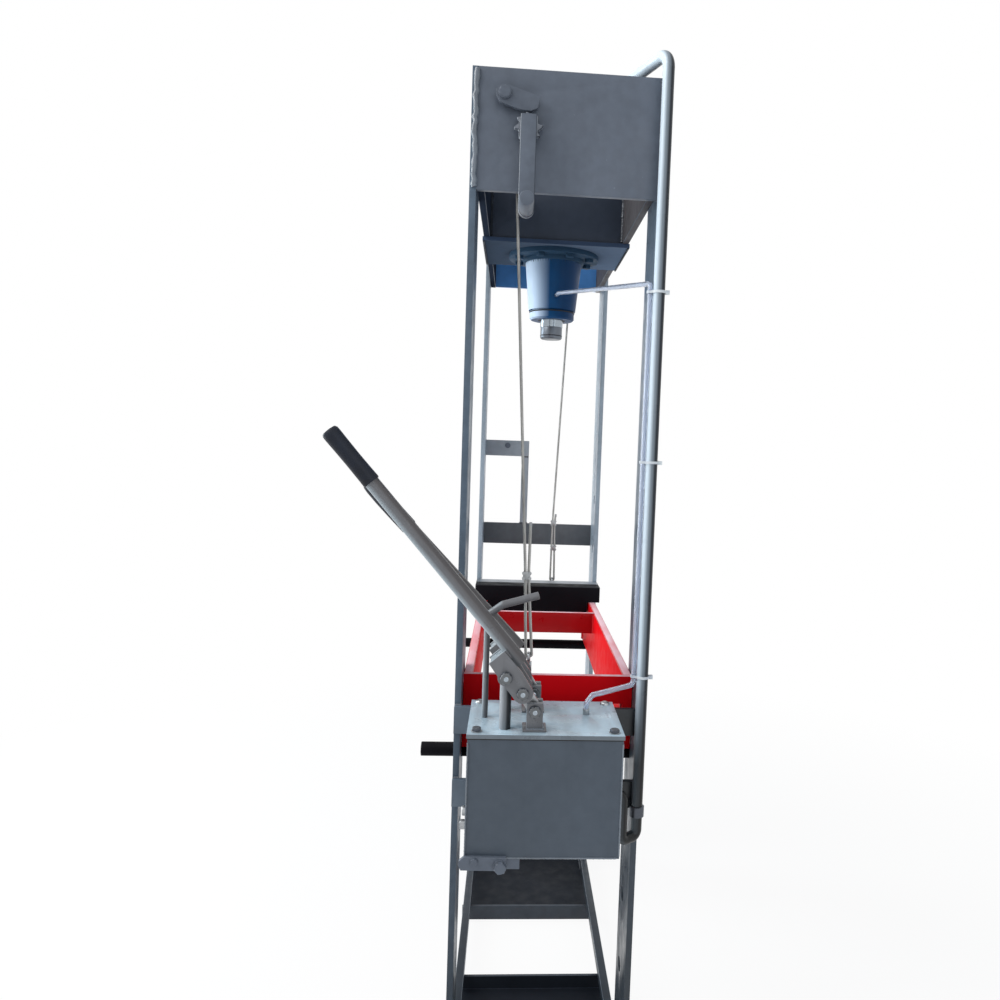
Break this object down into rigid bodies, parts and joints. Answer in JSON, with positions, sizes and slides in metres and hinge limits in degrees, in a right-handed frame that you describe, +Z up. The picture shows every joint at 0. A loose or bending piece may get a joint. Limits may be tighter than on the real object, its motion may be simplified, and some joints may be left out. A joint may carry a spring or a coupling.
{
  "type": "hydraulic gantry press",
  "caption": "Floor-standing hydraulic gantry press: two columns, a head with a vertical ram, a pinned table lifted by a cable winch, and a tank with hand pump levers.",
  "frame": {"origin": "on the floor, midway between the two columns, under the ram's axis", "axes": "+X to the right as seen from the pump side, +Y from the pump towards the far column, +Z up along the ram"},
  "size_m": [0.4955, 1.047, 1.7051],
  "materials": {
    "paint_frame": "satin",
    "paint_dark": "satin",
    "paint_blue": "satin",
    "paint_red": "gloss",
    "black_steel": "matte",
    "bright_steel": "bright",
    "chrome": "polished",
    "wire_rope": "stranded",
    "black_rubber": "matte",
    "clear_hose": "clear",
    "white_plastic": "plain"
  },
  "bodies": {
    "frame": {"near_posts": "paint_frame", "far_posts": "paint_frame", "near_end_plate": "paint_frame", "far_end_plate": "paint_dark", "head_side_plates": "paint_dark", "head_cross_plates": "paint_dark", "head_bottom_plate": "paint_dark", "weld_beads": "paint_frame", "base_rails": "paint_frame", "base_trays": "paint_dark", "near_cross_bars": "paint_frame", "far_cross_bars": "paint_dark", "cylinder_barrel": "paint_blue", "cylinder_gland": "bright_steel", "cylinder_cap": "paint_blue", "flange_screws": "black_steel", "wiper_seal": "black_rubber", "pressure_pipe": "paint_frame", "pipe_fittings": "bright_steel", "drain_hose": "clear_hose", "cable_ties": "white_plastic", "tank_shell": "paint_frame", "tank_lid": "paint_frame", "lid_gasket": "black_rubber", "lid_screws": "paint_dark", "pump_block": "bright_steel", "suction_filter": "bright_steel", "pump_lugs": "paint_frame", "tank_strap": "paint_frame", "frame_bolts": "bright_steel", "winch_bushes": "bright_steel", "pulley_bracket": "bright_steel", "far_cable_lead": "wire_rope", "return_spring": "bright_steel", "near_cable": "wire_rope", "far_cable": "wire_rope"},
    "ram_body": {"ram": "chrome", "ram_nose": "black_steel"},
    "table": {"table_beams": "paint_red", "table_cross_members": "paint_red", "cable_loops": "wire_rope", "cable_clips": "bright_steel"},
    "winch": {"winch_shaft": "bright_steel", "ratchet_wheel": "bright_steel", "winch_crank": "paint_frame"},
    "pawl_body": {"pawl": "paint_frame"},
    "pulley": {"guide_pulley": "bright_steel"},
    "pin_near": {"near_pin": "black_steel"},
    "pin_far": {"far_pin": "black_steel"},
    "plate_front": {"front_press_plate": "black_steel"},
    "plate_rear": {"rear_press_plate": "black_steel"},
    "plunger_a": {"piston_a": "bright_steel"},
    "handle_a": {"lever_a": "paint_frame", "grip_a": "black_rubber"},
    "rocker_a": {"link_a": "bright_steel"},
    "plunger_b": {"piston_b": "bright_steel"},
    "handle_b": {"lever_b": "paint_frame", "grip_b": "black_rubber"},
    "rocker_b": {"link_b": "bright_steel"},
    "release": {"release_lever": "paint_frame"}
  },
  "joints": [
    {"name": "ram_stroke", "type": "slide", "parent": "frame", "child": "ram_body", "axis": [0, 0, -1], "range_m": [0, 0.15], "stiffness_N_per_m": 600, "springref_m": -0.08, "deforming": ["return_spring"]},
    {"name": "table_lift", "type": "slide", "parent": "frame", "child": "table", "axis": [0, 0, 1], "range_m": [0, 0.377], "deforming": ["near_cable", "far_cable"]},
    {"name": "winch_turn", "type": "hinge", "parent": "frame", "child": "winch", "pos_m": [-0.063, 0, 1.575], "axis": [0, 1, 0], "range_deg": [0, 1168]},
    {"name": "pulley_turn", "type": "hinge", "parent": "frame", "child": "pulley", "pos_m": [0.042, 0.38, 1.5374], "axis": [0, -1, 0], "range_deg": [0, 1168]},
    {"name": "pawl_lift", "type": "hinge", "parent": "frame", "child": "pawl_body", "pos_m": [-0.1, -0.441, 1.622], "axis": [0, -1, 0], "range_deg": [0, 35]},
    {"name": "near_pin_pull", "type": "slide", "parent": "frame", "child": "pin_near", "axis": [-1, 0, 0], "range_m": [0, 0.32]},
    {"name": "far_pin_pull", "type": "slide", "parent": "frame", "child": "pin_far", "axis": [-1, 0, 0], "range_m": [0, 0.32]},
    {"name": "front_plate_slide", "type": "slide", "parent": "table", "child": "plate_front", "axis": [0, -1, 0], "range_m": [0, 0.115]},
    {"name": "rear_plate_lift", "type": "slide", "parent": "table", "child": "plate_rear", "axis": [0, 0, 1], "range_m": [0, 0.12]},
    {"name": "plunger_a_stroke", "type": "slide", "parent": "frame", "child": "plunger_a", "axis": [0, 0, -1], "range_m": [0, 0.012]},
    {"name": "handle_a_pump", "type": "hinge", "parent": "plunger_a", "child": "handle_a", "pos_m": [-0.07, -0.566, 0.774], "axis": [0, -1, 0], "range_deg": [0, 28]},
    {"name": "rocker_a_swing", "type": "hinge", "parent": "handle_a", "child": "rocker_a", "pos_m": [-0.046, -0.566, 0.752], "axis": [0, 1, 0], "range_deg": [0, 45]},
    {"name": "plunger_b_stroke", "type": "slide", "parent": "frame", "child": "plunger_b", "axis": [0, 0, -1], "range_m": [0, 0.012]},
    {"name": "handle_b_pump", "type": "hinge", "parent": "plunger_b", "child": "handle_b", "pos_m": [-0.07, -0.482, 0.774], "axis": [0, -1, 0], "range_deg": [0, 28]},
    {"name": "rocker_b_swing", "type": "hinge", "parent": "handle_b", "child": "rocker_b", "pos_m": [-0.046, -0.482, 0.752], "axis": [0, 1, 0], "range_deg": [0, 45]},
    {"name": "release_turn", "type": "hinge", "parent": "frame", "child": "release", "pos_m": [-0.1, -0.52, 0.85], "axis": [0, 0, 1], "range_deg": [-25, 60]}
  ],
  "couplings": [
    {"joint": "winch_turn", "follows": "table_lift", "rad_per_m": 54.054},
    {"joint": "pulley_turn", "follows": "table_lift", "rad_per_m": 54.054},
    {"joint": "plunger_a_stroke", "follows": "handle_a_pump", "m_per_rad": 0.0194},
    {"joint": "rocker_a_swing", "follows": "handle_a_pump", "ratio": 1.58},
    {"joint": "plunger_b_stroke", "follows": "handle_b_pump", "m_per_rad": 0.0194},
    {"joint": "rocker_b_swing", "follows": "handle_b_pump", "ratio": 1.58}
  ]
}
